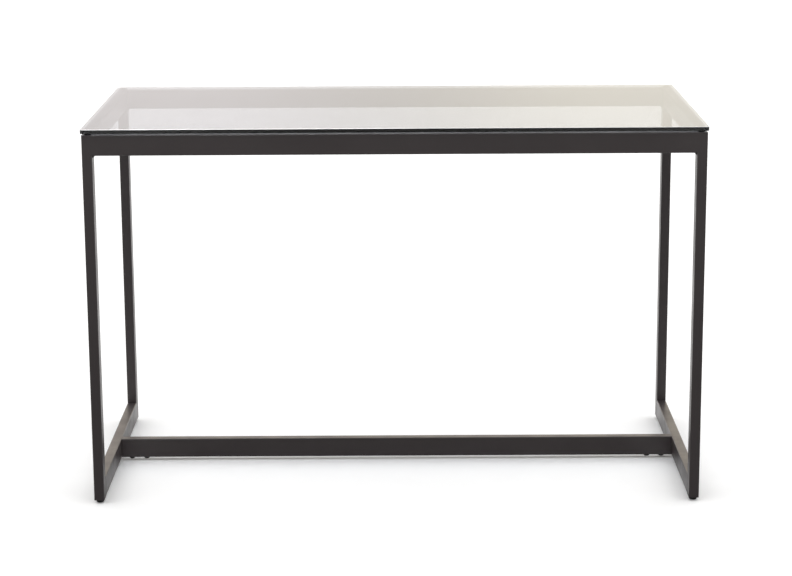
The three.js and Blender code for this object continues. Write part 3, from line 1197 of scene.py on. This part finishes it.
@dataclass
class Portal:
    """Two legs and the rail between them, welded and ground flush, with the pads that carry the glass."""

    end: End
    tube: SteelTube
    rubber: PadRubber
    weld_tree: WeldTree
    leg_top_ease: float = 1.0 * MM
    ripple: float = 2.1 * MM
    ripple_depth: float = 0.13 * MM
    pad_edge: float = 0.5 * MM
    edge_steps: int = 5
    glue: float = 0.25 * MM
    glue_rise: float = 0.2 * MM
    ring: tuple[Span, ...] = ((0.62, 0.0), (0.57, 0.25 * MM), (0.52, 0.0))
    turn_steps: int = 56
    weld_steps: int = 65

    def pad_profile(self, radius: float, height: float) -> list[tuple[float, float]]:
        """The section of a pad: a thin glued disc, a rounded wall, and a shallow ring in its top.

        Args:
            radius: Its widest radius.
            height: Its height.

        Returns:
            Pairs of radius and height.
        """
        glue, edge = self.glue, self.pad_edge
        angles = quarter_turn(self.edge_steps)
        top = [(radius - edge + edge * math.cos(a), height - edge + edge * math.sin(a)) for a in angles]
        ring = [(radius * share, height - depth) for share, depth in self.ring]
        foot = [(0.0, 0.0), (radius - edge, 0.0), (radius - edge, glue), (radius, glue + self.glue_rise)]
        return [*foot, *top, *ring, (0.0, height)]

    def build(self) -> None:
        """Makes the portal's pieces."""
        rail = f"{self.end.label}_rail"
        run = Run.ALONG_X if self.end is End.FRONT else Run.ALONG_X_TURNED
        self.tube.build(rail, run, cope=True)
        for side in Side:
            corner = f"{self.end.label}_{side.label}"
            self.tube.build(f"{corner}_leg", Run.UPRIGHT, top_ease=self.leg_top_ease)
            keep_node(f"{corner}_leg_cap", self.tube.coat)
            keep_node(f"{corner}_nut_plate", self.tube.coat)
            self.build_weld(corner, side)
            self.build_pad(corner)

    def build_weld(self, corner: str, side: Side) -> None:
        """Makes the bead in the corner under the rail.

        Args:
            corner: The leg's name.
            side: The side of the desk that the leg is on.
        """
        middle, size = sized(f"{corner}_weld")
        values = {
            "Size": size.z,
            "Length": size.y,
            "Ripple": self.ripple,
            "Ripple Depth": self.ripple_depth,
            "Steps": self.weld_steps,
            "Material": self.tube.coat.material,
        }
        mesh = self.weld_tree.make([ORIGIN], values)
        root = Vector((middle.x + side.sign * size.x / 2, middle.y, middle.z + size.z / 2))
        inwards = Matrix.Diagonal((-side.sign, 1.0, 1.0, 1.0))
        mesh.transform(Matrix.Translation(root) @ inwards)
        shape = bmesh.new()
        shape.from_mesh(mesh)
        bmesh.ops.remove_doubles(shape, verts=shape.verts, dist=TINY)
        bpy.data.meshes.remove(mesh)
        bead = shaded(as_mesh(shape, "bead"), sharp=50.0)
        add_piece(f"{corner}_weld_bead", bead, self.tube.coat, "frame", [f"{corner}_weld"])

    def build_pad(self, corner: str) -> None:
        """Makes the pad on a leg.

        Args:
            corner: The leg's name.
        """
        middle, size = sized(f"{corner}_pad")
        foot = Vector((middle.x, middle.y, middle.z - size.z / 2))
        profile = self.pad_profile(size.x / 2, size.z)
        pad = shaded(turned(profile, self.turn_steps, foot), sharp=40.0)
        add_piece(f"{corner}_pad_moulding", pad, self.rubber, "frame", [f"{corner}_pad"])


@dataclass
class TiedRail:
    """A rail that is screwed from below to a tongue in each of its ends."""

    name: str
    run: Run
    ends: tuple[str, str]
    screws: int
    tube: SteelTube
    zinc: ZincPlate
    black: BlackZinc
    tree: ScrewTree
    seed: int
    head_height: float = 4.4 * MM
    rim: float = 1.4 * MM
    flat_radius: float = 3.2 * MM
    shank: float = 2.9 * MM
    pitch: float = 1.0 * MM
    thread_depth: float = 0.55 * MM
    chamfer: float = 0.6 * MM
    slot_length: float = 6.0 * MM
    slot_width: float = 1.3 * MM
    slot_depth: float = 2.2 * MM
    round_steps: int = 24
    pitch_steps: int = 6

    def build(self) -> None:
        """Makes the rail's pieces."""
        self.tube.build(self.name, self.run)
        nodes = []
        for end in self.ends:
            keep_node(f"{self.name}_{end}_tongue", self.zinc)
            nodes += [f"{self.name}_{end}_screw_{i + 1}" for i in range(self.screws)]
        seats = []
        for node in nodes:
            middle, size = sized(node)
            seats.append(middle + Vector((0.0, 0.0, self.head_height - size.z / 2)))
        size = sized(nodes[0])[1]
        values = {
            "Radius": self.shank,
            "Depth": self.thread_depth,
            "Pitch": self.pitch,
            "Length": size.z - self.head_height,
            "Chamfer": self.chamfer,
            "Round Steps": self.round_steps,
            "Pitch Steps": self.pitch_steps,
            "Head Radius": size.x / 2,
            "Head Height": self.head_height,
            "Rim": self.rim,
            "Flat Radius": self.flat_radius,
            "Slot Length": self.slot_length,
            "Slot Width": self.slot_width,
            "Slot Depth": self.slot_depth,
            "Seed": self.seed,
            "Material": self.black.material,
        }
        mesh = self.tree.make(seats, values)
        add_piece(f"{self.name}_screws", shaded(mesh, sharp=35.0), self.black, "frame", nodes)


@dataclass
class GlassTop:
    """The pane, with a ground edge and an arris along each of its rims."""

    glass: SmokedGlass
    corner: float = 4.0 * MM
    arris: float = 0.5 * MM
    arris_haze: tuple[float, ...] = (0.05, 0.0, 1.0)
    corner_steps: int = 14

    def outline(self, half: Vector, inset: float) -> list[tuple[float, float]]:
        """A rounded rectangle, anticlockwise.

        Args:
            half: Half of the pane's size.
            inset: How far inside the pane's edge it runs.

        Returns:
            Its corners.
        """
        points = []
        radius = self.corner - inset
        for quarter, (sx, sy) in enumerate(((1, 1), (-1, 1), (-1, -1), (1, -1))):
            middle = (sx * (half.x - self.corner), sy * (half.y - self.corner))
            for i in range(self.corner_steps + 1):
                angle = (quarter + i / self.corner_steps) * math.pi / 2
                points.append((middle[0] + radius * math.cos(angle), middle[1] + radius * math.sin(angle)))
        return points

    def build(self) -> None:
        """Makes the pane from four outlines: two that bound its faces and two that bound its edge."""
        middle, size = sized("glass_top")
        half = size / 2
        shape = bmesh.new()
        band = shape.faces.layers.float.new("band")
        arris = shape.faces.layers.float.new("arris")
        heights = [-half.z, -half.z + self.arris, half.z - self.arris, half.z]
        rings = []
        for height, inset in zip(heights, (self.arris, 0.0, 0.0, self.arris)):
            points = self.outline(half, inset)
            rings.append([shape.verts.new(Vector((x, y, height)) + middle) for x, y in points])
        count = len(rings[0])
        for step, (lower, upper) in enumerate(zip(rings, rings[1:])):
            for i in range(count):
                j = (i + 1) % count
                face = shape.faces.new((lower[i], lower[j], upper[j], upper[i]))
                face[band] = 1.0 if step == 1 else 0.0
                face[arris] = self.arris_haze[step]
        shape.faces.new(rings[-1])
        shape.faces.new(list(reversed(rings[0])))
        pane = shaded(as_mesh(shape, "pane"))
        add_piece("glass_pane", pane, self.glass, "frame", ["glass_top"])


# ------------------------------------------------------------------------------------------ the studio


@dataclass
class Studio:
    """A pale floor, an even pale surround that is darker behind the viewer, and one soft overhead light.

    Each pair whose name ends in edge, start, spread or rise is where a change begins and ends: in metres on
    the floor, and as a part of the direction's length on the surround.
    """

    floor_colour: float = 0.98
    back_edge: Span = (-0.26, 0.30)
    side_edge: Span = (0.46, 0.57)
    side_start: Span = (-0.29, -0.20)
    front_edge: Span = (-4.6, -1.0)
    front_spread: Span = (0.1, 1.2)
    front_share: Span = (0.35, 1.5)
    near_bounce: float = 0.26
    front_bounce: float = 0.50
    back_bounce: float = 0.95
    side_bounce: float = 0.95
    floor_reach: float = 60.0
    floor_drop: float = 0.2 * MM
    mottle_scale: float = 9.0
    mottle: Span = (0.985, 1.0)
    surround: Colour = (1.36, 1.36, 1.36)
    left_tone: Colour = (1.30, 1.22, 1.19)
    right_tone: Colour = (1.42, 1.34, 1.18)
    high_tone: Colour = (1.62, 1.42, 1.12)
    sky_rise: float = 0.9
    sky_spread: float = 0.25
    sky_edge: Span = (-0.75, 0.15)
    middle_share: float = 0.89
    middle_reach: float = 0.10
    wall_rise: Span = (0.17, 0.30)
    far_edge: Span = (0.75, 0.93)
    dim: Colour = (0.22, 0.215, 0.215)
    lamp_place: tuple[float, ...] = (-0.55, -0.56, 2.55)
    lamp_size: Span = (1.1, 0.26)
    lamp_power: float = 21.0
    lens: float = 101.57
    sensor: float = 36.0
    clip: Span = (0.05, 200.0)
    eye: tuple[float, ...] = (0.0102, -4.531, 1.402)
    yaw: float = -0.0021
    pitch: float = 0.2243
    roll: float = -0.0055

    def build(self) -> None:
        """Makes the floor, the surround, the lamp and the camera."""
        self.build_floor()
        self.build_surround()
        self.build_lamp()
        self.build_camera()

    def build_floor(self) -> None:
        """Makes the floor. What it throws back on the desk is dimmer than what is seen of it."""
        graph = ShaderGraph("studio_floor")
        mottle = graph.over(graph.noise(self.mottle_scale, detail=4.0), self.mottle)
        aside, behind, _ = graph.parts(graph.place)
        back = graph.remap(behind, *self.back_edge, 0.0, self.back_bounce - self.near_bounce)
        beside = graph.remap(abs(aside), *self.side_edge, 0.0, self.side_bounce - self.near_bounce)
        beside = beside * graph.remap(behind, *self.side_start, 0.0, 1.0)
        front = graph.remap(behind, *self.front_edge, self.front_bounce - self.near_bounce, 0.0)
        front = front * graph.remap(abs(aside), *self.front_spread, *self.front_share)
        thrown = graph.math("MAXIMUM", back, beside) + front + self.near_bounce
        pale = (thrown + (self.floor_colour - thrown) * graph.seen()) * mottle
        graph.dress(Base_Color=graph.vector(pale, pale, pale), Roughness=0.9, Specular_IOR_Level=0.1)
        shape = bmesh.new()
        bmesh.ops.create_grid(shape, x_segments=8, y_segments=8, size=self.floor_reach)
        mesh = bpy.data.meshes.new("studio_floor")
        shape.to_mesh(mesh)
        shape.free()
        mesh.transform(Matrix.Translation((0.0, 0.0, -self.floor_drop)))
        mesh.materials.append(graph.material)
        floor = placed("studio_floor", mesh)

    def build_surround(self) -> None:
        """Makes the surround: pale above, behind and at the sides, and dim low down at the front."""
        world = bpy.data.worlds.new("surround")
        bpy.context.scene.world = world
        world.use_nodes = True
        graph = Graph(world.node_tree)
        graph.tree.nodes.clear()
        x, y, z = graph.parts(graph.out(graph.node("ShaderNodeTexCoord"), "Generated"))
        openness = y + abs(z) * self.sky_rise + abs(x) * self.sky_spread
        open_sky = graph.remap(openness, *self.sky_edge, 0.0, 1.0)
        seen = graph.seen()
        sideways = graph.remap(x, -self.middle_reach, self.middle_reach, 0.0, 1.0)
        low_wall = graph.mixed(sideways, self.left_tone, self.right_tone)
        high_wall = graph.mixed(graph.remap(z, *self.wall_rise, 0.0, 1.0), low_wall, self.high_tone)
        middle = graph.remap(abs(x), 0.0, self.middle_reach, self.middle_share, 1.0)
        dimmed = graph.node("ShaderNodeVectorMath", {0: high_wall, "Scale": middle}, operation="SCALE")
        far = graph.remap(y, *self.far_edge, 0.0, 1.0) * (1.0 - seen)
        pale = graph.mixed(far, self.surround, graph.out(dimmed))
        tone = graph.mixed(graph.math("MAXIMUM", open_sky, seen), self.dim, pale)
        glow = graph.node("ShaderNodeBackground", {"Color": tone, "Strength": 1.0})
        graph.node("ShaderNodeOutputWorld", {"Surface": glow.outputs[0]})

    def build_lamp(self) -> None:
        """Makes the overhead light, which skips the floor and draws the line on the pane's front arris."""
        data = bpy.data.lights.new("overhead", "AREA")
        data.shape = "RECTANGLE"
        data.size, data.size_y = self.lamp_size
        data.energy = self.lamp_power
        lamp = placed("overhead", data)
        lamp.location = self.lamp_place
        lit = bpy.data.collections.new("lit_by_overhead")
        for piece in bpy.context.scene.objects:
            if piece.type == "MESH" and piece.name != "studio_floor":
                lit.objects.link(piece)
        lamp.light_linking.receiver_collection = lit

    def build_camera(self) -> None:
        """Makes the camera and gives it to the scene."""
        data = bpy.data.cameras.new("camera")
        data.lens = self.lens
        data.sensor_width = self.sensor
        data.clip_start, data.clip_end = self.clip
        level = Vector((math.sin(self.yaw), math.cos(self.yaw), 0.0))
        ahead = level * math.cos(self.pitch) - Vector((0.0, 0.0, math.sin(self.pitch)))
        right = Vector((math.cos(self.yaw), -math.sin(self.yaw), 0.0))
        up = right.cross(ahead)
        tilted = right * math.cos(self.roll) + up * math.sin(self.roll)
        upright = up * math.cos(self.roll) - right * math.sin(self.roll)
        turn = Matrix((tilted, upright, -ahead)).transposed().to_4x4()
        camera = placed("camera", data)
        camera.matrix_world = Matrix.Translation(self.eye) @ turn
        bpy.context.scene.camera = camera
        bpy.context.scene.view_settings.view_transform = "Standard"


@dataclass
class Desk:
    """The whole desk: its finishes, its trees and its sub-assemblies."""

    coat: PowderCoat = field(default_factory=PowderCoat)
    glass: SmokedGlass = field(default_factory=SmokedGlass)
    rubber: PadRubber = field(default_factory=PadRubber)
    nylon: MouldedPlastic = field(default_factory=MouldedPlastic)
    zinc: ZincPlate = field(default_factory=ZincPlate)
    black: BlackZinc = field(default_factory=BlackZinc)

    def build(self) -> None:
        """Makes every piece, from the portals to the glass."""
        tube = SteelTube(self.coat, TubeTree())
        weld_tree = WeldTree()
        screw_tree = ScrewTree()
        foot = LevellingFoot(self.nylon, self.zinc, ThreadTree())
        for end in End:
            Portal(end, tube, self.rubber, weld_tree).build()
            for side in Side:
                foot.build(end, side)
        seed = 1
        for side in Side:
            for level in Level:
                name = f"{side.label}_{level.value}_rail"
                ends = (End.FRONT.label, End.REAR.label)
                TiedRail(name, Run.ALONG_Y, ends, 1, tube, self.zinc, self.black, screw_tree, seed).build()
                seed += 1
        ends = (Side.LEFT.label, Side.RIGHT.label)
        TiedRail("stretcher", Run.ALONG_X, ends, 2, tube, self.zinc, self.black, screw_tree, seed).build()
        GlassTop(self.glass).build()


def main() -> None:
    """Builds the desk, then the studio round it."""
    logging.basicConfig(level=logging.INFO, format="%(name)s %(message)s")
    Desk().build()
    Studio().build()


if __name__ == "__main__":
    main()
